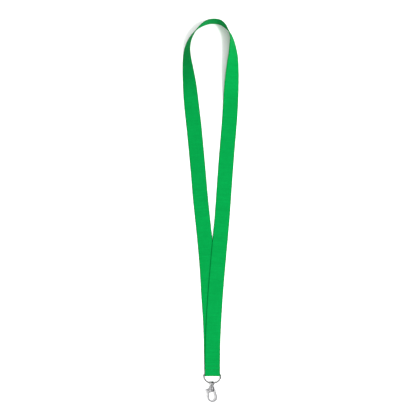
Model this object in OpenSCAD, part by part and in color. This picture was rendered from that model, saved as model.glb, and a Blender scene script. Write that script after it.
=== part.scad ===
// Flat webbing neck lanyard with a sewn D-ring and a swivel trigger hook.
// It lies on the XY plane, +Z up, +Y towards the neck loop. Millimetres.

/* [Webbing] */
// Width of the webbing ribbon
strap_w = 19.8; // [19.4:0.1:20]
// Thickness of the webbing ribbon
strap_t = 0.9; // [0.7:0.05:0.9]
// Length of the tail folded back behind the sewn end
tail_len = 15; // [12:1:18]
// Distance between stations along the ribbon
strap_step = 4; // [3:0.5:8]

/* [Stitching] */
// Diameter of the sewing thread
thread_d = 0.4; // [0.3:0.05:0.4]
// Length of one stitch
stitch_len = 2.1; // [1.6:0.1:2.2]
// Number of stitches in a row
stitch_n = 7; // [5:1:7]

/* [D-ring] */
// Diameter of the ring wire
ring_wire = 1.5; // [1.3:0.05:1.5]
// Width across the ring, wire centre to wire centre
ring_w = 21.9; // [21.7:0.1:22.5]
// Radius of the bow's side arcs, to the wire centre
ring_side_r = 9; // [8:0.25:9.25]
// Half length of the straight at the bow's bottom, where the eye hangs
ring_flat = 1.4; // [1:0.1:1.6]

/* [Swivel eye] */
// Radius of the eye, to the wire centre
eye_r = 2.6; // [2.5:0.05:2.7]
// Diameter of the eye's round section
eye_wire = 1.5; // [1.3:0.05:1.5]
// Radius of the swivel stud
stud_r = 1.0; // [0.8:0.05:1.05]
// Angle that the eye is turned from the hook's plane
eye_turn = 48; // [45:1:75]

/* [Hook] */
// Radius of the barrel round the stud
barrel_r = 3.0; // [2.8:0.05:3.05]
// Length of the barrel
barrel_len = 3.2; // [3:0.1:3.4]
// Thickness of the hook across its flat
hook_t = 3.4; // [3.2:0.1:3.8]
// Width of the hook's band
band_w = 1.7; // [1.6:0.05:1.9]
// Outside radius of the hook's bend
bend_r = 6.1; // [5.9:0.1:6.2]

/* [Gate] */
// Radius of the gate's pivot pin
pin_r = 0.6; // [0.5:0.05:0.65]
// Thickness of the gate's arm
gate_t = 3.0; // [2.6:0.1:3]
// Diameter of the return spring's wire
spring_wire = 0.26; // [0.2:0.02:0.28]

/* [Hidden] */
$fn = 48;

layer = strap_t + 0.05;             // one ribbon thickness with the gap to the next layer
end_x = 2.4;                        // middle of the sewn end, ring and hook
bar_y = -211;                       // D-ring's straight bar
fold_in = ring_wire/2 + 0.05;       // inside radius of the fold: running clearance on the bar
fold_out = fold_in + strap_t;
bar_z = fold_out;                   // the fold lies on the table
hook_z = 3.2;                       // height of the swivel axis
ring_side_a = 40;                   // angle that each side arc of the bow turns through
ring_bend = 0.95;                   // corner radius of the ring, to the wire centre
ring_main_r = ring_side_r + (ring_w/2 - ring_side_r - ring_flat)/cos(ring_side_a);
bow_depth = ring_bend + ring_main_r - (ring_main_r - ring_side_r)*sin(ring_side_a);
ring_tilt = asin((hook_z - bar_z)/bow_depth);
eye_off = eye_r - eye_wire/2 - ring_wire/2 - 0.15; // the ring's wire sits this far above the eye's middle
eye_y = bar_y - bow_depth*cos(ring_tilt) - eye_off;
hook_y = eye_y - eye_r - eye_wire/2 - 0.14;        // top of the barrel
pivot = [-3.6, -6.1];               // gate pivot, from the barrel's top
bend_c = [0.15, -14.2];             // centre of the hook's bend
band_r = bend_r - band_w/2;         // band's middle line in the bend
arm_x = bend_c[0] - band_r;         // middle line of the gate's arm and the nose
tab = [-7.1, -5.4];                 // middle of the gate's thumb tab
gate_r = 5.85;                      // gate's reach from its pivot
green = [0.05, 0.68, 0.33];
thread_green = [0.03, 0.55, 0.26];
nickel = [0.80, 0.80, 0.82];

// Outer edge of the ribbon where it lies: [x, y, height of its underside, roll].
// Roll 0 is flat, 90 stands on its outer edge. It runs up the left leg, round the neck and down the right leg.
ROUTE = [
  [-8.0, -206, layer, 0], [-8.2, -194, layer, 0], [-8.6, -184, 0, 0], [-8.9, -168, 0, 0],
  [-10.0, -140, 0, 0], [-12.0, -110, 0, 0], [-14.1, -75, 0, 0], [-17.0, -40, 0, 0],
  [-20.3, -8, 0, 2], [-23.0, 18, 0, 5], [-25.3, 46, 0, 8], [-28.4, 80, 0, 7],
  [-31.6, 113, 0, 6], [-34.5, 140, 0, 12], [-36.0, 166, 0, 28], [-36.4, 186, 0, 45],
  [-36.0, 199, 0, 56], [-34.3, 211.5, 0, 65], [-30.9, 221.8, 0, 70], [-25.9, 230, 0, 74],
  [-19.6, 236.9, 0, 78], [-11.6, 242.3, 0, 84], [-2.4, 245.5, 0, 89], [5.0, 246.1, 0, 90],
  [12.0, 244.9, 0, 90], [18.6, 241.1, 0, 87], [24.8, 235, 0, 80], [29.7, 226, 0, 74],
  [33.0, 215.5, 0, 62], [35.4, 204, 0, 50], [36.5, 188, 0, 35], [36.7, 168, 0, 19],
  [36.2, 148, 0, 5], [34.6, 120, 0, 0], [31.6, 84, 0, 0], [28.6, 45, 0, 0],
  [26.6, 16, 0, 0], [24.7, -10, 0, 0], [22.5, -34, layer, 0], [20.0, -62, layer, 0],
  [17.7, -88, layer, 0], [15.7, -114, layer, 0], [14.0, -142, layer, 0], [12.8, -168, layer, 0],
  [12.4, -184, layer, 0], [12.3, -194, 2*layer, 0], [12.3, -204, 2*layer, 0],
  [12.3, -208, bar_z + fold_in, 0]
];
LEFT_TOP = 13;   // the legs end and the neck loop begins at these two points
RIGHT_TOP = 32;
LEFT_MID = 7;    // the legs' lower halves begin at these two
RIGHT_MID = 37;

// Smooth curve through the route's points, by chord length
function chord(i) = norm([ROUTE[i+1][0] - ROUTE[i][0], ROUTE[i+1][1] - ROUTE[i][1]]);
function secant(i) = (ROUTE[i+1] - ROUTE[i])/chord(i);
function slope(i) = i == 0 ? secant(0)
  : i == len(ROUTE) - 1 ? secant(i - 1)
  : (secant(i-1)*chord(i) + secant(i)*chord(i-1))/(chord(i-1) + chord(i));
function on_route(i, u) = let (d = chord(i),
  q = (2*u*u*u - 3*u*u + 1)*ROUTE[i] + (u*u*u - 2*u*u + u)*d*slope(i)
  + (3*u*u - 2*u*u*u)*ROUTE[i+1] + (u*u*u - u*u)*d*slope(i+1),
  e = 3*u*u - 2*u*u*u)
  // the height eases from point to point, so that it never dips below either
  [q[0], q[1], ROUTE[i][2]*(1 - e) + ROUTE[i+1][2]*e, min(90, max(0, q[3]))];
function heading(i, u) = let (d = chord(i),
  v = (6*u*u - 6*u)*(ROUTE[i] - ROUTE[i+1])/d + (3*u*u - 4*u + 1)*slope(i) + (3*u*u - 2*u)*slope(i+1))
  [v[0], v[1]]/norm([v[0], v[1]]);
// The ribbon's four corners at one station
function corners(i, u) = let (p = on_route(i, u), h = heading(i, u),
  n = [h[1], -h[0]], c = cos(p[3]), s = sin(p[3]),
  w = strap_w*[n[0]*c, n[1]*c, s], b = strap_t/2*[-n[0]*s, -n[1]*s, c],
  o = [p[0], p[1], p[2] + strap_t/2*c])
  [o - b, o + w - b, o + w + b, o + b];
function stations(from, to) = concat(
  [for (i = [from:to-1]) let (k = ceil(chord(i)/strap_step)) for (j = [0:k-1]) corners(i, j/k)],
  [corners(to - 1, 1)]);
function flat(rings) = [for (r = rings) for (p = r) p];
// Side and end triangles of a swept tube of m-sided rings
function tube_faces(n, m) = concat(
  [for (i = [0:n-2]) for (j = [0:m-1]) let (a = i*m + j, b = i*m + (j+1)%m)
    for (f = [[a, b, b + m], [a, b + m, a + m]]) f],
  [for (j = [1:m-2]) [0, j+1, j]],
  [for (j = [1:m-2]) [(n-1)*m, (n-1)*m + j, (n-1)*m + j + 1]]);

module ribbon(from, to) {
  r = stations(from, to);
  polyhedron(points = flat(r), faces = [for (f = tube_faces(len(r), 4)) [f[0], f[2], f[1]]], convexity = 8);
}

// Upper part of the webbing, which rolls up on its outer edge and stands round the neck
module strap_neck_loop() color(green) ribbon(LEFT_TOP, RIGHT_TOP);

// Left leg's upper half, which begins to roll up towards the neck
module strap_left_upper() color(green) ribbon(LEFT_MID, LEFT_TOP);

// Left leg's lower half, flat on the table, its end sewn between the other two layers
module strap_left_lower() color(green) ribbon(0, LEFT_MID);

// Right leg's upper half, flat on the table
module strap_right_upper() color(green) ribbon(RIGHT_TOP, RIGHT_MID);

// Right leg's lower half, which climbs over the left leg
module strap_right_lower() color(green) ribbon(RIGHT_MID, len(ROUTE) - 1);

// The webbing's turn round the ring's bar, and its tail underneath
module strap_end_fold() color(green) difference() {
  translate([end_x, bar_y, bar_z]) union() {
    rotate([0, 90, 0]) rotate([0, 0, 180]) rotate_extrude(angle = 180)
      translate([fold_in, -strap_w/2]) square([strap_t, strap_w]);
    translate([-strap_w/2, 0, fold_in]) cube([strap_w, -208 - bar_y, strap_t]);
    translate([-strap_w/2, 0, -fold_out]) cube([strap_w, tail_len, strap_t]);
  }
  // Grooves that the bobbin thread is pulled into
  for (y = stitch_rows) translate([end_x - strap_w/2 + 0.7, y, thread_d/2 - 0.02])
    rotate([0, 90, 0]) cylinder(r = thread_d/2 + 0.02, h = strap_w - 1.4);
}

stitch_rows = [-199.2, -203.6];
stitch_pitch = (strap_w - 2)/stitch_n;

// One stitch: a short round-ended length of thread
module stitch() {
  r = thread_d/2;
  translate([-stitch_len/2 + r, 0, 0]) rotate([0, 90, 0]) cylinder(r = r, h = stitch_len - 2*r);
  for (s = [-1, 1]) translate([s*(stitch_len/2 - r), 0, 0]) sphere(r = r);
}

// Needle thread on the front layer
module needle_thread() color(thread_green)
  for (y = stitch_rows) for (i = [0:stitch_n-1])
    translate([end_x + (i - (stitch_n-1)/2)*stitch_pitch, y, 2*layer + strap_t + thread_d/2 + 0.02]) stitch();

// Bobbin thread in the tail's underside
module bobbin_thread() color(thread_green)
  for (y = stitch_rows) for (i = [0:stitch_n-1])
    translate([end_x + (i - (stitch_n-1)/2)*stitch_pitch, y, thread_d/2]) stitch();

// Part of a round wire bent to radius r, from angle a through sweep s, about [0, 0]
module wire_arc(r, d, a, s) rotate([0, 0, a]) rotate_extrude(angle = s) translate([r, 0]) circle(d = d, $fn = 32);

// Short collar, a hair proud, where two runs of wire meet
module wire_joint(x, y, a, d) translate([x, y, 0]) rotate([0, 0, a]) rotate([90, 0, 0])
  translate([0, 0, -0.15]) cylinder(d = d + 0.03, h = 0.3, $fn = 32);

// D-shaped wire ring: a straight bar, two tight corners and a three-arc bow
module d_ring() color(nickel)
  translate([end_x, bar_y, bar_z]) rotate([-ring_tilt, 0, 0]) {
    h = ring_w/2 - ring_bend;
    translate([-h, 0, 0]) rotate([0, 90, 0]) cylinder(d = ring_wire, h = 2*h, $fn = 32);
    translate([-ring_flat, -bow_depth, 0]) rotate([0, 90, 0]) cylinder(d = ring_wire, h = 2*ring_flat, $fn = 32);
    for (m = [0, 1]) mirror([m, 0, 0]) {
      wire_joint(ring_w/2, -ring_bend, 0, ring_wire);
      wire_joint(ring_flat + ring_main_r*sin(90 - ring_side_a), ring_main_r*(1 - cos(90 - ring_side_a)) - bow_depth,
        -ring_side_a, ring_wire);
      wire_joint(ring_flat, -bow_depth, 90, ring_wire);
      translate([h, -ring_bend, 0]) wire_arc(ring_bend, ring_wire, 0, 90);
      translate([ring_w/2 - ring_side_r, -ring_bend, 0]) wire_arc(ring_side_r, ring_wire, -ring_side_a, ring_side_a);
      translate([ring_flat, -bow_depth + ring_main_r, 0]) wire_arc(ring_main_r, ring_wire, -90, 90 - ring_side_a);
    }
  }

// Eye that hangs on the ring, with its stud through the barrel and the peened head inside
module swivel_eye() color(nickel) {
  translate([end_x, eye_y, hook_z]) rotate([0, eye_turn, 0])
    rotate_extrude() translate([eye_r, 0]) circle(d = eye_wire, $fn = 32);
  translate([end_x, hook_y, hook_z]) rotate([90, 0, 0]) {
    translate([0, 0, -0.9]) cylinder(r = stud_r, h = barrel_len + 1.2);
    translate([0, 0, barrel_len + 0.08]) cylinder(r1 = 1.4, r2 = 1.1, h = 0.7);
  }
}

// Section of the hook's band: flat sides with rounded edges
module band_section(w, t) {
  square([w, t - w], center = true);
  for (s = [-1, 1]) translate([0, s*(t - w)/2]) circle(d = w, $fn = 32);
}
module band_line(a, b, w, t) {
  d = b - a;
  translate([a[0], a[1], 0]) rotate([0, 0, atan2(d[1], d[0])]) rotate([90, 0, 90])
    linear_extrude(norm(d)) band_section(w, t);
}

// Where the right side's straight run meets the bend
side_from = [3.1, -4.0];
side_d = side_from - bend_c;
side_a = atan2(side_d[1], side_d[0]) - acos(band_r/norm(side_d));
side_to = bend_c + band_r*[cos(side_a), sin(side_a)];

// Cast hook: barrel, neck with two ears for the gate, side, bend and nose
module hook_body() color(nickel) translate([end_x, hook_y, hook_z]) difference() {
  union() {
    rotate([90, 0, 0]) cylinder(r = barrel_r, h = barrel_len);
    rotate([90, 0, 0]) cylinder(r = barrel_r + 0.15, h = 0.7);
    translate([0, -barrel_len + 0.1, 0]) rotate([90, 0, 0]) cylinder(r1 = barrel_r - 0.05, r2 = 2.1, h = 3);
    translate([side_from[0], side_from[1], 0]) rotate_extrude() intersection() {
      band_section(band_w + 0.06, hook_t + 0.06);
      translate([0, -hook_t]) square([band_w, 2*hook_t]);
    }
    translate([0, 0, -hook_t/2]) linear_extrude(hook_t) {
      polygon([[-2.4, -2.7], [2.4, -2.7], [3.8, -3.9], [4.5, -7.4], [2.6, -7.1], [0.6, -6.8], [-1.4, -7.1], [-3.2, -7.9], [-4.9, -4.75]]);
      translate(pivot) circle(r = 1.9);
    }
    band_line(side_from, side_to, band_w, hook_t);
    translate([bend_c[0], bend_c[1], 0]) rotate([0, 0, -180]) rotate_extrude(angle = 180 + side_a)
      translate([band_r, 0]) band_section(band_w, hook_t);
    band_line([arm_x, bend_c[1]], [arm_x, -10.5], band_w, hook_t);
    // collars, a hair proud, where the bend meets its two straight runs
    translate([side_to[0], side_to[1], 0]) rotate([0, 0, side_a]) rotate([90, 0, 0]) translate([0, 0, -0.15])
      linear_extrude(0.3) band_section(band_w + 0.03, hook_t + 0.03);
    translate([arm_x, bend_c[1], 0]) rotate([90, 0, 0]) translate([0, 0, -0.15])
      linear_extrude(0.3) band_section(band_w + 0.03, hook_t + 0.03);
  }
  // Stud's bore and the round pocket that its peened head turns in
  translate([0, 0.1, 0]) rotate([90, 0, 0]) cylinder(r = stud_r + 0.05, h = barrel_len + 1);
  translate([0.3, -barrel_len, 0]) rotate([90, 0, 0]) cylinder(r = 1.9, h = 2.2);
  translate([0.3 - 1.9, -barrel_len - 2.2, 0]) cube([3.8, 2.2, 2*hook_t]);
  // Slot between the ears
  translate([-8, -8.5, -1.05]) cube([6.05, 3.9, 2.1]);
  // Pin hole
  translate([pivot[0], pivot[1], -hook_t]) cylinder(r = pin_r, h = 2*hook_t);
  // The nose is cut to the gate's swing
  intersection() {
    translate([pivot[0], pivot[1], -hook_t]) cylinder(r = gate_r + 0.12, h = 2*hook_t, $fn = 96);
    translate([-8, -13.5, -hook_t]) cube([5.5, 5, 2*hook_t]);
  }
}

// Gate: knuckle on the pin, arm down to the nose, thumb tab outside
module gate_lever() color(nickel) translate([end_x, hook_y, hook_z]) difference() {
  union() {
    translate([pivot[0], pivot[1], -1.0]) cylinder(r = 1.5, h = 0.9);
    translate([arm_x - band_w/2, -9, -1.0]) cube([band_w, 4.2, 0.9]);
    intersection() {
      translate([arm_x, 0, 0]) band_line([0, -8.2], [0, -12.5], band_w, gate_t);
      translate([pivot[0], pivot[1], -3]) cylinder(r = gate_r, h = 6, $fn = 96);
    }
    // thumb tab, a waisted knob on a web beside the ears
    translate([tab[0], tab[1] - 0.75, -1.0]) cube([pivot[0] - tab[0], 1.5, 0.9]);
    translate([tab[0], tab[1], -2.3]) cylinder(r = 1.25, h = 5.2);
    translate([tab[0], tab[1], -2.3]) cylinder(r = 1.5, h = 0.9);
    translate([tab[0], tab[1], 2.0]) cylinder(r = 1.5, h = 0.9);
  }
  translate([pivot[0], pivot[1], -2]) cylinder(r = pin_r + 0.05, h = 4);
}

// Riveted pin through the ears
module gate_pin() color(nickel) translate([end_x + pivot[0], hook_y + pivot[1], hook_z]) {
  translate([0, 0, -hook_t/2]) cylinder(r = pin_r, h = hook_t);
  for (s = [0, 1]) mirror([0, 0, s]) translate([0, 0, hook_t/2]) cylinder(r1 = 0.95, r2 = 0.6, h = 0.25);
}

// Return spring: three turns on the pin, one leg on the gate's arm and one in the neck
spring_r = pin_r + 0.12 + spring_wire/2;
spring_turns = 2.5;
spring_pts = concat(
  [[-4.9 - pivot[0], -1.9, 0.1]],
  [for (k = [0:40]) let (a = 180 + k*360*spring_turns/40) [spring_r*cos(a), spring_r*sin(a), 0.1 + 0.72*k/40]],
  [[spring_r, 1.3, 0.82]]);
module gate_spring() color("silver") translate([end_x + pivot[0], hook_y + pivot[1], hook_z + 0.06]) {
  m = 6;
  n = len(spring_pts);
  rings = [for (i = [0:n-1]) let (
      a = spring_pts[max(i-1, 0)], b = spring_pts[min(i+1, n-1)],
      t = (b - a)/norm(b - a), s = cross(t, [0, 0, 1]), su = s/norm(s), v = cross(t, su))
    [for (j = [0:m-1]) spring_pts[i] + spring_wire/2*(su*cos(j*360/m) + v*sin(j*360/m))]];
  polyhedron(points = flat(rings), faces = [for (f = tube_faces(n, m)) [f[0], f[2], f[1]]], convexity = 8);
}

strap_neck_loop();
strap_left_upper();
strap_left_lower();
strap_right_upper();
strap_right_lower();
strap_end_fold();
needle_thread();
bobbin_thread();
d_ring();
swivel_eye();
hook_body();
gate_lever();
gate_pin();
gate_spring();
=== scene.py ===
import math

import bmesh
import bpy
import numpy as np
from mathutils import Matrix, Vector


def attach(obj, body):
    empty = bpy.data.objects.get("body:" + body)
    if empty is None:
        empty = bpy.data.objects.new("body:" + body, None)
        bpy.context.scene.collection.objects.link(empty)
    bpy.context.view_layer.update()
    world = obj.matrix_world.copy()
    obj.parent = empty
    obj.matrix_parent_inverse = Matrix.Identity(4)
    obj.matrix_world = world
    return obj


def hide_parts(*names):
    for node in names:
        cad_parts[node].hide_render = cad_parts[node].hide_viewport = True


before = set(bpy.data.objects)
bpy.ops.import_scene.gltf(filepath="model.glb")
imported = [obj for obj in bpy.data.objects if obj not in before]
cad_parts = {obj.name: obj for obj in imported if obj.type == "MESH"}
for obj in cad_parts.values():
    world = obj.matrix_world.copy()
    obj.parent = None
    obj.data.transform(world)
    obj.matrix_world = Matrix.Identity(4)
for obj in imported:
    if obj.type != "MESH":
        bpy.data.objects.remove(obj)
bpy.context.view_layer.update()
MM = 0.001
col = bpy.context.scene.collection

# ---------------------------------------------------------------- dimensions, as in the CAD source (mm)
W, T = 19.8, 0.9
LAYER = T + 0.05
END_X, BAR_Y, HOOK_Z = 2.4, -211.0, 3.2
RING_WIRE, RING_W, SIDE_R, SIDE_A, BEND = 1.5, 21.9, 9.0, 40.0, 0.95
FLAT = 1.4
FOLD_IN = RING_WIRE / 2 + 0.05
FOLD_OUT = FOLD_IN + T
BAR_Z = FOLD_OUT
TAIL = 15.0
rad = math.radians
MAIN_R = SIDE_R + (RING_W / 2 - SIDE_R - FLAT) / math.cos(rad(SIDE_A))
DEPTH = BEND + MAIN_R - (MAIN_R - SIDE_R) * math.sin(rad(SIDE_A))
TILT = math.asin((HOOK_Z - BAR_Z) / DEPTH)
EYE_R, EYE_WIRE = 2.6, 1.5
EYE_Y = BAR_Y - DEPTH * math.cos(TILT) - (EYE_R - EYE_WIRE / 2 - RING_WIRE / 2 - 0.15)
HOOK_Y = EYE_Y - EYE_R - EYE_WIRE / 2 - 0.14
PIVOT = (-3.6, -6.1)

ROUTE = np.array([
    [-8.0, -206, LAYER, 0], [-8.2, -194, LAYER, 0], [-8.6, -184, 0, 0], [-8.9, -168, 0, 0],
    [-10.0, -140, 0, 0], [-12.0, -110, 0, 0], [-14.1, -75, 0, 0], [-17.0, -40, 0, 0],
    [-20.3, -8, 0, 2], [-23.0, 18, 0, 5], [-25.3, 46, 0, 8], [-28.4, 80, 0, 7],
    [-31.6, 113, 0, 6], [-34.5, 140, 0, 12], [-36.0, 166, 0, 28], [-36.4, 186, 0, 45],
    [-36.0, 199, 0, 56], [-34.3, 211.5, 0, 65], [-30.9, 221.8, 0, 70], [-25.9, 230, 0, 74],
    [-19.6, 236.9, 0, 78], [-11.6, 242.3, 0, 84], [-2.4, 245.5, 0, 89], [5.0, 246.1, 0, 90],
    [12.0, 244.9, 0, 90], [18.6, 241.1, 0, 87], [24.8, 235, 0, 80], [29.7, 226, 0, 74],
    [33.0, 215.5, 0, 62], [35.4, 204, 0, 50], [36.5, 188, 0, 35], [36.7, 168, 0, 19],
    [36.2, 148, 0, 5], [34.6, 120, 0, 0], [31.6, 84, 0, 0], [28.6, 45, 0, 0],
    [26.6, 16, 0, 0], [24.7, -10, 0, 0], [22.5, -34, LAYER, 0], [20.0, -62, LAYER, 0],
    [17.7, -88, LAYER, 0], [15.7, -114, LAYER, 0], [14.0, -142, LAYER, 0], [12.8, -168, LAYER, 0],
    [12.4, -184, LAYER, 0], [12.3, -194, 2 * LAYER, 0], [12.3, -204, 2 * LAYER, 0],
    [12.3, -208, BAR_Z + FOLD_IN, 0],
], float)


# ---------------------------------------------------------------- helpers
def add(name, verts, faces, smooth=True, uv=None):
    me = bpy.data.meshes.new(name)
    me.from_pydata([tuple(v) for v in verts], [], [tuple(f) for f in faces])
    if uv is not None:
        layer = me.uv_layers.new(name="weave")
        layer.data.foreach_set("uv", np.asarray(uv, np.float32).ravel())
    me.validate()
    me.update()
    if smooth:
        me.polygons.foreach_set("use_smooth", [True] * len(me.polygons))
    ob = bpy.data.objects.new(name, me)
    col.objects.link(ob)
    return ob


def sweep(points, radius, sides, closed=False, squash=1.0, up=(0, 0, 1)):
    """A round tube along the points, in metres."""
    p = np.asarray(points, float)
    n = len(p)
    verts, faces = [], []
    for i in range(n):
        a, b = (p[i - 1], p[(i + 1) % n]) if closed else (p[max(i - 1, 0)], p[min(i + 1, n - 1)])
        t = (b - a) / np.linalg.norm(b - a)
        s = np.cross(t, up)
        s /= np.linalg.norm(s)
        v = np.cross(t, s)
        r = radius[i] if hasattr(radius, "__len__") else radius
        for j in range(sides):
            an = 2 * math.pi * j / sides
            verts.append(p[i] + r * (s * math.cos(an) * squash + v * math.sin(an)))
    for i in range(n if closed else n - 1):
        for j in range(sides):
            a, b = i * sides + j, i * sides + (j + 1) % sides
            c, d = ((i + 1) % n) * sides + (j + 1) % sides, ((i + 1) % n) * sides + j
            faces.append((a, d, c, b))
    if not closed:
        faces.append(tuple(range(sides)))
        faces.append(tuple(reversed(range((n - 1) * sides, n * sides))))
    return verts, faces


def hermite(route, step):
    """Points and headings along the route, at even steps."""
    n = len(route)
    ch = np.linalg.norm(np.diff(route[:, :2], axis=0), axis=1)
    sec = np.diff(route, axis=0) / ch[:, None]
    sl = np.zeros_like(route)
    sl[0], sl[-1] = sec[0], sec[-1]
    for i in range(1, n - 1):
        sl[i] = (sec[i - 1] * ch[i] + sec[i] * ch[i - 1]) / (ch[i - 1] + ch[i])
    out, head = [], []
    for i in range(n - 1):
        d = ch[i]
        k = max(4, int(d / 0.05))
        for u in np.arange(k) / k if i < n - 2 else np.arange(k + 1) / k:
            q = ((2 * u**3 - 3 * u * u + 1) * route[i] + (u**3 - 2 * u * u + u) * d * sl[i]
                 + (3 * u * u - 2 * u**3) * route[i + 1] + (u**3 - u * u) * d * sl[i + 1])
            e = 3 * u * u - 2 * u**3
            q[2] = route[i][2] * (1 - e) + route[i + 1][2] * e
            q[3] = min(90, max(0, q[3]))
            h = ((6 * u * u - 6 * u) * (route[i] - route[i + 1]) / d
                 + (3 * u * u - 4 * u + 1) * sl[i] + (3 * u * u - 2 * u) * sl[i + 1])[:2]
            out.append(q)
            head.append(h / np.linalg.norm(h))
    return np.array(out), np.array(head)


# ---------------------------------------------------------------- the webbing: one ribbon, 0.5 mm stations
def ribbon_frames():
    """Edge point, across, normal at each fine station, and distance along, in mm."""
    q, h = hermite(ROUTE, 0.05)
    n = np.stack([h[:, 1], -h[:, 0]], 1)
    c, s = np.cos(np.radians(q[:, 3])), np.sin(np.radians(q[:, 3]))
    across = np.stack([n[:, 0] * c, n[:, 1] * c, s], 1)
    normal = np.stack([-n[:, 0] * s, -n[:, 1] * s, c], 1)
    edge = np.stack([q[:, 0], q[:, 1], q[:, 2] + T / 2 * c], 1)
    # round the ring's bar, then back as the tail
    x = END_X + W / 2
    pts, nor = [], []
    for y in np.arange(-208.05, BAR_Y, -0.05):
        pts.append((x, y, BAR_Z + FOLD_IN + T / 2)); nor.append((0, 0, 1))
    r = FOLD_IN + T / 2
    for a in np.arange(90, 270.01, 2.0):
        pts.append((x, BAR_Y + r * math.cos(rad(a)), BAR_Z + r * math.sin(rad(a))))
        nor.append((0, math.cos(rad(a)), math.sin(rad(a))))
    for y in np.arange(BAR_Y + 0.05, BAR_Y + TAIL + 0.001, 0.05):
        pts.append((x, y, T / 2)); nor.append((0, 0, -1))
    m = len(pts)
    edge = np.vstack([edge, pts])
    across = np.vstack([across, np.tile([-1.0, 0, 0], (m, 1))])
    normal = np.vstack([normal, nor])
    mid = edge + across * W / 2
    dist = np.concatenate([[0], np.cumsum(np.linalg.norm(np.diff(mid, axis=0), axis=1))])
    return edge, across, normal, dist


def make_webbing():
    edge, across, normal, dist = ribbon_frames()
    total = dist[-1]
    n = int(total / 0.5)
    at = np.linspace(0, total, n + 1)
    def along(a):
        return np.stack([np.interp(at, dist, a[:, k]) for k in range(3)], 1)
    edge, across, normal = along(edge), along(across), along(normal)
    across /= np.linalg.norm(across, axis=1)[:, None]
    normal /= np.linalg.norm(normal, axis=1)[:, None]
    # section: position across (from the outer edge) and share of half thickness
    r = 0.30
    cols = [1.0, 2.6, 4.4, 6.4, 8.4, 9.9, 11.4, 13.4, 15.4, 17.2, W - 1.0]
    sec = [(0.0, 0.0)]
    sec += [(0.09, 0.62), (r, 1.0)] + [(c, 1.0) for c in cols] + [(W - r, 1.0), (W - 0.09, 0.62), (W, 0.0)]
    sec += [(W - 0.09, -0.62), (W - r, -1.0)] + [(c, -1.0) for c in reversed(cols)] + [(r, -1.0), (0.09, -0.62)]
    sec = np.array(sec)
    m = len(sec)
    per = np.linalg.norm(np.diff(np.vstack([sec, sec[:1]]) * [1, T / 2], axis=0), axis=1)
    p = np.concatenate([[0], np.cumsum(per)])
    half_round = p[-1] / 2
    # cross ribs: every other station stands a hair proud; the edges stay even
    rib = np.where(np.arange(n + 1) % 2 == 0, 1.0, -1.0) * 0.018
    rng = np.random.default_rng(7)
    wave = np.interp(at, np.linspace(0, total, 260), rng.normal(0, 0.012, 260))
    verts = np.zeros((n + 1, m, 3))
    for j, (a, b) in enumerate(sec):
        flat = abs(b) >= 0.99
        half = T / 2 - 0.02
        h = b * half + (np.sign(b) * rib if flat else 0)
        w = a + (wave if a < 1 else -wave if a > W - 1 else 0)
        verts[:, j] = edge + across * np.reshape(w, (-1, 1)) + normal * np.reshape(h, (-1, 1))
    verts = verts.reshape(-1, 3) * MM
    faces, uv = [], []
    for i in range(n):
        for j in range(m):
            k = (j + 1) % m
            faces.append((i * m + j, i * m + k, (i + 1) * m + k, (i + 1) * m + j))
            uv += [(at[i] * MM, p[j] * MM), (at[i] * MM, p[j + 1] * MM), (at[i + 1] * MM, p[j + 1] * MM), (at[i + 1] * MM, p[j] * MM)]
    faces.append(tuple(reversed(range(m))))
    faces.append(tuple(range(n * m, (n + 1) * m)))
    uv += [(0, p[j] * MM) for j in reversed(range(m))] + [(total * MM, p[j] * MM) for j in range(m)]
    ob = add("webbing_ribbon", verts, faces, uv=uv)
    return ob, total, half_round


webbing, ribbon_length, HALF_ROUND = make_webbing()
bm = bmesh.new(); bm.from_mesh(webbing.data); bmesh.ops.recalc_face_normals(bm, faces=bm.faces)
bm.to_mesh(webbing.data); bm.free()
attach(webbing, "strap")
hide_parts("strap_neck_loop", "strap_left_upper", "strap_left_lower", "strap_right_upper", "strap_right_lower",
            "strap_end_fold")


# ---------------------------------------------------------------- stitches: thread that dives into the webbing at both ends
def stitches(name, z, side):
    rows, pitch, length = (-199.2, -203.6), (W - 2) / 7, 2.1
    verts, faces = [], []
    for y in rows:
        for i in range(7):
            x = END_X + (i - 3) * pitch
            for ply in (0, 1):  # two plies laid round each other
                pts = []
                for k in range(17):
                    u = k / 16
                    lift = 0.20 * (math.sin(math.pi * u) ** 0.5) - 0.16
                    an = ply * math.pi + u * 2.2 * math.pi
                    pts.append(((x + (u - 0.5) * length) * MM,
                                (y + 0.07 * math.cos(an)) * MM,
                                (z + side * (lift + 0.05 * math.sin(an))) * MM))
                v, f = sweep(pts, 0.125 * MM, 8)
                o = len(verts)
                verts += v
                faces += [tuple(a + o for a in q) for q in f]
    ob = add(name, verts, faces)
    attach(ob, "strap")
    return ob


needle = stitches("needle_stitches", 2 * LAYER + T + 0.06, 1)
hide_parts("needle_thread")
bobbin = stitches("bobbin_stitches", 0.21, -1)
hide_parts("bobbin_thread")


# ---------------------------------------------------------------- D-ring: one bent wire, its ends butted in the bar
def ring_path():
    h = RING_W / 2 - BEND
    pts = [(x, 0.0) for x in np.linspace(0.0, h, 12)]
    pts += [(h + BEND * math.sin(rad(a)), -BEND + BEND * math.cos(rad(a))) for a in np.arange(7.5, 90, 7.5)]
    c = RING_W / 2 - SIDE_R
    pts += [(c + SIDE_R * math.cos(rad(a)), -BEND + SIDE_R * math.sin(rad(a))) for a in np.linspace(0, -SIDE_A, 14)]
    cy = -DEPTH + MAIN_R
    pts += [(FLAT + MAIN_R * math.sin(rad(a)), cy - MAIN_R * math.cos(rad(a))) for a in np.linspace(90 - SIDE_A, 0, 26)[1:]]
    pts += [(x, -DEPTH) for x in (FLAT * 0.66, FLAT * 0.33, 0.0)]
    left = [(-x, y) for x, y in reversed(pts[1:-1])]
    return pts + left


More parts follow.
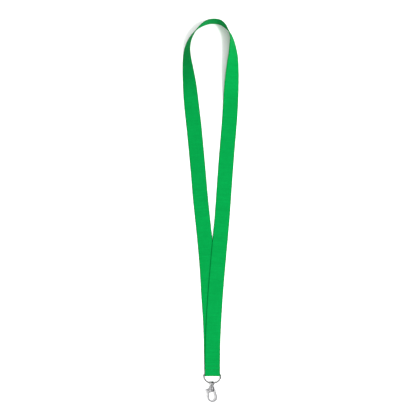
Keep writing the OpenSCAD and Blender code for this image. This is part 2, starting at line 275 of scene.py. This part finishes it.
flat_pts = ring_path()
ring_pts = [((END_X + x) * MM, (BAR_Y + y * math.cos(TILT)) * MM, (BAR_Z - y * math.sin(TILT)) * MM) for x, y in flat_pts]
verts, faces = sweep(ring_pts, RING_WIRE / 2 * MM, 28, closed=True)
ring = add("d_ring_wire", verts, faces)
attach(ring, "ring")
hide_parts("d_ring")


# ---------------------------------------------------------------- cast pieces: the CAD shape with its edges softened as a casting's are
def cast_copy(node, name, voxel, rounds, extra=(), ease=0.0):
    """ease (mm) draws the whole surface inwards, to give back the running clearance that softening takes."""
    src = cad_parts[node]
    me = src.data.copy()
    ob = bpy.data.objects.new(name, me)
    col.objects.link(ob)
    bm = bmesh.new()
    bm.from_mesh(me)
    bmesh.ops.remove_doubles(bm, verts=bm.verts, dist=1e-7)
    for v, f in extra:
        vs = [bm.verts.new(p) for p in v]
        for q in f:
            bm.faces.new([vs[i] for i in q])
    bmesh.ops.recalc_face_normals(bm, faces=bm.faces)
    bm.to_mesh(me)
    bm.free()
    me.materials.clear()
    mod = ob.modifiers.new("remesh", "REMESH")
    mod.mode = "VOXEL"
    mod.voxel_size = voxel * MM
    mod.use_smooth_shade = True
    sm = ob.modifiers.new("smooth", "SMOOTH")
    sm.factor = 0.5
    sm.iterations = rounds
    dg = bpy.context.evaluated_depsgraph_get()
    new = bpy.data.meshes.new_from_object(ob.evaluated_get(dg))
    ob.modifiers.clear()
    ob.data = new
    if ease:
        moved = [v.co - v.normal * (ease * MM) for v in new.vertices]
        for v, p in zip(new.vertices, moved):
            v.co = p
        new.update()
    new.polygons.foreach_set("use_smooth", [True] * len(new.polygons))
    bpy.data.meshes.remove(me)
    return ob


hook = cast_copy("hook_body", "hook_casting", 0.11, 8)
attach(hook, "hook"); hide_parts("hook_body")
gate = cast_copy("gate_lever", "gate_casting", 0.09, 6, ease=0.05)
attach(gate, "gate"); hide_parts("gate_lever")
eye = cast_copy("swivel_eye", "eye_casting", 0.09, 5)
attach(eye, "eye"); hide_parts("swivel_eye")


def lathe(profile, centre, sides=40):
    """A turned piece about +Z through the centre: profile is (radius, z), in mm."""
    verts, faces = [], []
    k = len(profile)
    for i in range(sides):
        a = 2 * math.pi * i / sides
        for r, z in profile:
            verts.append(((centre[0] + r * math.cos(a)) * MM, (centre[1] + r * math.sin(a)) * MM, (centre[2] + z) * MM))
    for i in range(sides):
        for j in range(k - 1):
            a, b = i * k + j, ((i + 1) % sides) * k + j
            faces.append((a, b, b + 1, a + 1))
    faces.append(tuple(i * k for i in reversed(range(sides))))
    faces.append(tuple(i * k + k - 1 for i in range(sides)))
    return verts, faces


px, py = END_X + PIVOT[0], HOOK_Y + PIVOT[1]
half = [(0.6, 0.0), (0.6, 1.69), (0.93, 1.70), (0.95, 1.76), (0.88, 1.86), (0.72, 1.93), (0.45, 1.98), (0.15, 2.0)]
profile = [(r, -z) for r, z in reversed(half[1:])] + half
verts, faces = lathe(profile, (px, py, HOOK_Z))
pin = add("gate_rivet", verts, faces)
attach(pin, "hook"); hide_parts("gate_pin")

SPRING_WIRE = 0.26
sr = 0.6 + 0.12 + SPRING_WIRE / 2
pts = [(-4.9 - PIVOT[0], -1.9, 0.1)] + [
    (sr * math.cos(rad(180 + k * 900 / 90)), sr * math.sin(rad(180 + k * 900 / 90)), 0.1 + 0.72 * k / 90) for k in range(91)
] + [(sr, 1.3, 0.82)]
verts, faces = sweep([((px + x) * MM, (py + y) * MM, (HOOK_Z + 0.06 + z) * MM) for x, y, z in pts], SPRING_WIRE / 2 * MM, 10)
spring = add("gate_return_spring", verts, faces)
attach(spring, "hook"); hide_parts("gate_spring")


# ---------------------------------------------------------------- materials
def material(name):
    m = bpy.data.materials.new(name)
    m.use_nodes = True
    nt = m.node_tree
    return m, nt, nt.nodes["Principled BSDF"]


def math_node(nt, op, a, b=None, c=None):
    n = nt.nodes.new("ShaderNodeMath")
    n.operation = op
    for i, v in enumerate((a, b, c)):
        if v is None:
            continue
        if isinstance(v, (int, float)):
            n.inputs[i].default_value = v
        else:
            nt.links.new(v, n.inputs[i])
    return n.outputs[0]


def mix_color(nt, fac, a, b):
    n = nt.nodes.new("ShaderNodeMix")
    n.data_type = "RGBA"
    nt.links.new(fac, n.inputs["Factor"])
    for key, v in (("A", a), ("B", b)):
        s = [i for i in n.inputs if i.name == key and i.type == "RGBA"][0]
        if isinstance(v, tuple):
            s.default_value = (*v, 1)
        else:
            nt.links.new(v, s)
    return [o for o in n.outputs if o.type == "RGBA"][0]


def noise(nt, vector, scale, detail=3.0, rough=0.5):
    n = nt.nodes.new("ShaderNodeTexNoise")
    n.inputs["Scale"].default_value = scale
    n.inputs["Detail"].default_value = detail
    n.inputs["Roughness"].default_value = rough
    nt.links.new(vector, n.inputs["Vector"])
    return n.outputs["Fac"]


def bump(nt, height, distance, strength=1.0, normal=None):
    n = nt.nodes.new("ShaderNodeBump")
    n.inputs["Strength"].default_value = strength
    n.inputs["Distance"].default_value = distance
    nt.links.new(height, n.inputs["Height"])
    if normal is not None:
        nt.links.new(normal, n.inputs["Normal"])
    return n.outputs["Normal"]


def remap(nt, v, a, b, c, d):
    n = nt.nodes.new("ShaderNodeMapRange")
    n.clamp = True
    for k, x in zip(("From Min", "From Max", "To Min", "To Max"), (a, b, c, d)):
        n.inputs[k].default_value = x
    nt.links.new(v, n.inputs["Value"])
    return n.outputs["Result"]


def scaled(nt, colour, k):
    n = nt.nodes.new("ShaderNodeMix")
    n.data_type = "RGBA"
    n.blend_type = "MULTIPLY"
    n.inputs["Factor"].default_value = 1.0
    a, b = [i for i in n.inputs if i.type == "RGBA"][:2]
    nt.links.new(colour, a)
    b.default_value = (k, k, k, 1)
    return [o for o in n.outputs if o.type == "RGBA"][0]


def webbing_material():
    m, nt, p = material("woven_polyester")
    uv = nt.nodes.new("ShaderNodeUVMap"); uv.uv_map = "weave"
    sep = nt.nodes.new("ShaderNodeSeparateXYZ")
    nt.links.new(uv.outputs["UV"], sep.inputs[0])
    s, q = sep.outputs["X"], sep.outputs["Y"]
    obj = nt.nodes.new("ShaderNodeTexCoord").outputs["Object"]
    # picks across the ribbon and warp ends along it, one over one
    pick = math_node(nt, "SINE", math_node(nt, "MULTIPLY", s, 2 * math.pi / 0.0010))
    end = math_node(nt, "SINE", math_node(nt, "MULTIPLY", q, 2 * math.pi / 0.0011))
    over = math_node(nt, "MULTIPLY", pick, end)
    rib = math_node(nt, "SINE", math_node(nt, "MULTIPLY", s, 2 * math.pi / 0.0005))
    height = math_node(nt, "ADD", math_node(nt, "MULTIPLY", over, 0.6), math_node(nt, "MULTIPLY", rib, 0.4))
    fuzz = noise(nt, obj, 5200.0, 2.0, 0.6)
    height = math_node(nt, "ADD", height, math_node(nt, "MULTIPLY", fuzz, 0.35))
    nt.links.new(bump(nt, height, 0.00006, 0.7), p.inputs["Normal"])
    # colour: dye varies slightly along the ribbon, painted shade darkens the weave's valleys, some yarn tops lighter at
    # random
    slow = noise(nt, obj, 26.0, 3.0, 0.55)
    base = mix_color(nt, remap(nt, slow, 0.3, 0.7, 0, 1), STRAP_A, STRAP_B)
    weave = mix_color(nt, remap(nt, height, -0.9, 1.1, 0, 1), STRAP_VALLEY_SHADE, base)
    speck = noise(nt, obj, 900.0, 2.0, 0.7)
    tops = mix_color(nt, remap(nt, speck, 0.52, 0.75, 0, 0.35), weave, STRAP_TOP)
    # picks beaten up a little unevenly: faint bands straight across the ribbon
    cx = nt.nodes.new("ShaderNodeCombineXYZ")
    nt.links.new(s, cx.inputs["X"])
    nt.links.new(math_node(nt, "MULTIPLY", q, 0.06), cx.inputs["Y"])
    band = remap(nt, noise(nt, cx.outputs[0], 620.0, 2.0, 0.75), 0.3, 0.7, 0.0, 1.0)
    banded = mix_color(nt, band, scaled(nt, tops, 0.90), scaled(nt, tops, 1.06))
    # selvedges: the weft turns back there; painted shade darkens both edges of the ribbon
    side = math_node(nt, "PINGPONG", q, HALF_ROUND * MM)
    rim = math_node(nt, "MINIMUM", side, math_node(nt, "SUBTRACT", HALF_ROUND * MM, side))
    edge_shaded = mix_color(nt, remap(nt, rim, 0.00045, 0.00110, 0.0, 1.0), scaled(nt, banded, 0.55), banded)
    nt.links.new(edge_shaded, p.inputs["Base Color"])
    nt.links.new(remap(nt, speck, 0.3, 0.7, 0.62, 0.78), p.inputs["Roughness"])
    p.inputs["Sheen Weight"].default_value = 0.10
    p.inputs["Sheen Roughness"].default_value = 0.4
    p.inputs["Sheen Tint"].default_value = (0.0, 1.0, 0.33, 1)
    p.inputs["Specular IOR Level"].default_value = 0.015
    return m


def thread_material():
    m, nt, p = material("sewing_thread")
    obj = nt.nodes.new("ShaderNodeTexCoord").outputs["Object"]
    fine = noise(nt, obj, 9000.0, 2.0, 0.6)
    base = mix_color(nt, remap(nt, fine, 0.35, 0.65, 0, 1), (0.001, 0.13, 0.024), (0.003, 0.23, 0.048))
    nt.links.new(base, p.inputs["Base Color"])
    nt.links.new(remap(nt, fine, 0.3, 0.7, 0.45, 0.65), p.inputs["Roughness"])
    nt.links.new(bump(nt, fine, 0.00003, 0.5), p.inputs["Normal"])
    p.inputs["Sheen Weight"].default_value = 0.15
    p.inputs["Sheen Tint"].default_value = (0.2, 1.0, 0.5, 1)
    p.inputs["Specular IOR Level"].default_value = 0.12
    return m


def metal_material(name, light, dark, rough_lo, rough_hi, stretch=(1, 1, 1), grain=0.000004):
    m, nt, p = material(name)
    tc = nt.nodes.new("ShaderNodeTexCoord").outputs["Object"]
    mp = nt.nodes.new("ShaderNodeMapping")
    mp.inputs["Scale"].default_value = stretch
    nt.links.new(tc, mp.inputs["Vector"])
    v = mp.outputs["Vector"]
    cloud = noise(nt, v, 420.0, 3.0, 0.6)
    fine = noise(nt, v, 2600.0, 3.0, 0.65)
    nt.links.new(mix_color(nt, remap(nt, cloud, 0.35, 0.7, 0, 1), light, dark), p.inputs["Base Color"])
    nt.links.new(remap(nt, fine, 0.35, 0.7, rough_lo, rough_hi), p.inputs["Roughness"])
    p.inputs["Metallic"].default_value = 1.0
    h = math_node(nt, "ADD", math_node(nt, "MULTIPLY", cloud, 2.5), fine)
    nt.links.new(bump(nt, h, grain, 0.6), p.inputs["Normal"])
    return m


STRAP_A = (0.0009, 0.256, 0.0470)
STRAP_B = (0.0014, 0.290, 0.0560)
# the next colour is painted shade, laid into the weave's valleys
STRAP_VALLEY_SHADE = (0.0004, 0.160, 0.0278)
STRAP_TOP = (0.004, 0.352, 0.083)

mat_web = webbing_material()
mat_thread = thread_material()
mat_ring = metal_material("drawn_nickel_wire", (0.37, 0.355, 0.36), (0.28, 0.265, 0.27), 0.07, 0.17)
mat_cast = metal_material("polished_nickel_casting", (0.86, 0.86, 0.87), (0.76, 0.76, 0.77), 0.08, 0.20)
mat_pin = metal_material("rivet_steel", (0.62, 0.61, 0.60), (0.45, 0.45, 0.45), 0.18, 0.34)
mat_spring = metal_material("spring_steel_wire", (0.48, 0.47, 0.46), (0.33, 0.33, 0.33), 0.22, 0.4)
for ob, mat in ((webbing, mat_web), (needle, mat_thread), (bobbin, mat_thread), (ring, mat_ring), (hook, mat_cast),
                (gate, mat_cast), (eye, mat_cast), (pin, mat_pin), (spring, mat_spring)):
    ob.data.materials.clear()
    ob.data.materials.append(mat)

# ---------------------------------------------------------------- floor, light, camera
floor = add("floor", [(-3, -3, 0), (3, -3, 0), (3, 3, 0), (-3, 3, 0)], [(0, 1, 2, 3)])
m, nt, p = material("pale_floor")
# painted reflection: to glossy rays the floor is a darker grey than to the camera and the lamp, which darkens it in the
# metal's reflections
floor_in_reflections = nt.nodes.new("ShaderNodeLightPath").outputs["Is Glossy Ray"]
nt.links.new(mix_color(nt, floor_in_reflections, (0.93, 0.93, 0.93), (0.52, 0.52, 0.53)), p.inputs["Base Color"])
p.inputs["Roughness"].default_value = 0.9
p.inputs["Specular IOR Level"].default_value = 0.1
floor.data.materials.append(m)

SKY, SKY_X, SKY_Y, KEY_W = 1.68, 0.66, -0.32, 32.0
ROOM, ROOM_X, ROOM_Y = 1.5, -0.70, -0.40
world = bpy.data.worlds.new("studio")
bpy.context.scene.world = world
world.use_nodes = True
wt = world.node_tree
bg = wt.nodes["Background"]
tc = wt.nodes.new("ShaderNodeTexCoord")
sp = wt.nodes.new("ShaderNodeSeparateXYZ")
wt.links.new(tc.outputs["Generated"], sp.inputs[0])


def sky_ramp(stops):
    r = wt.nodes.new("ShaderNodeValToRGB")
    wt.links.new(sp.outputs["Z"], r.inputs["Fac"])
    e = r.color_ramp.elements
    e[0].position, e[0].color = stops[0][0], (*[stops[0][1]] * 3, 1)
    e[1].position, e[1].color = stops[-1][0], (*[stops[-1][1]] * 3, 1)
    for pos, c in stops[1:-1]:
        k = r.color_ramp.elements.new(pos)
        k.color = (c, c, c, 1)
    return r.outputs["Color"]


# soft overhead light, weaker towards -X and +Y; a darker room with a bright ceiling in the reflections
soft = sky_ramp([(0.0, 0.06), (0.22, 0.16), (0.45, 0.62), (0.7, 0.85), (1.0, 0.93)])
room = sky_ramp([(0.0, 0.30), (0.12, 0.10), (0.35, 0.05), (0.66, 0.07), (0.80, 0.42), (0.9, 0.60), (1.0, 0.62)])
lp = wt.nodes.new("ShaderNodeLightPath")
side = math_node(wt, "ADD", math_node(wt, "MULTIPLY", sp.outputs["X"], SKY_X), math_node(wt, "MULTIPLY", sp.outputs["Y"], SKY_Y))
both = mix_color(wt, lp.outputs["Is Glossy Ray"], soft, room)
both = mix_color(wt, lp.outputs["Is Camera Ray"], both, (0.9, 0.9, 0.9))
wt.links.new(both, bg.inputs["Color"])
even = math_node(wt, "MULTIPLY", math_node(wt, "ADD", side, 1.0), SKY)
lean = math_node(wt, "ADD", math_node(wt, "MULTIPLY", sp.outputs["X"], ROOM_X), 1.0)
lean = math_node(wt, "ADD", lean, math_node(wt, "MULTIPLY", math_node(wt, "ABSOLUTE", sp.outputs["Y"]), ROOM_Y))
shine = math_node(wt, "MULTIPLY", math_node(wt, "MAXIMUM", lean, 0.05), ROOM)
glossy = math_node(wt, "MULTIPLY", lp.outputs["Is Glossy Ray"], math_node(wt, "SUBTRACT", shine, even))
wt.links.new(math_node(wt, "ADD", even, glossy), bg.inputs["Strength"])

key_dir = Vector((0.507, -0.12, 0.853)).normalized()
ld = bpy.data.lights.new("key", "AREA")
ld.shape, ld.size, ld.energy = "DISK", 0.5, KEY_W
key = bpy.data.objects.new("key", ld)
key.visible_glossy = False
col.objects.link(key)
key.location = Vector((0, 0.05, 0)) + key_dir * 2.0
key.rotation_euler = (-key_dir).to_track_quat("-Z", "Y").to_euler()

cam_data = bpy.data.cameras.new("camera")
cam = bpy.data.objects.new("camera", cam_data)
col.objects.link(cam)
cam_data.lens, cam_data.sensor_width = 50.0, 36.0
cam_data.clip_start, cam_data.clip_end = 0.01, 20.0
cam.location = (-0.0008, 0.0034, 0.760)
cam.rotation_euler = (0, 0, 0)
bpy.context.scene.camera = cam
bpy.context.scene.view_settings.view_transform = "Standard"
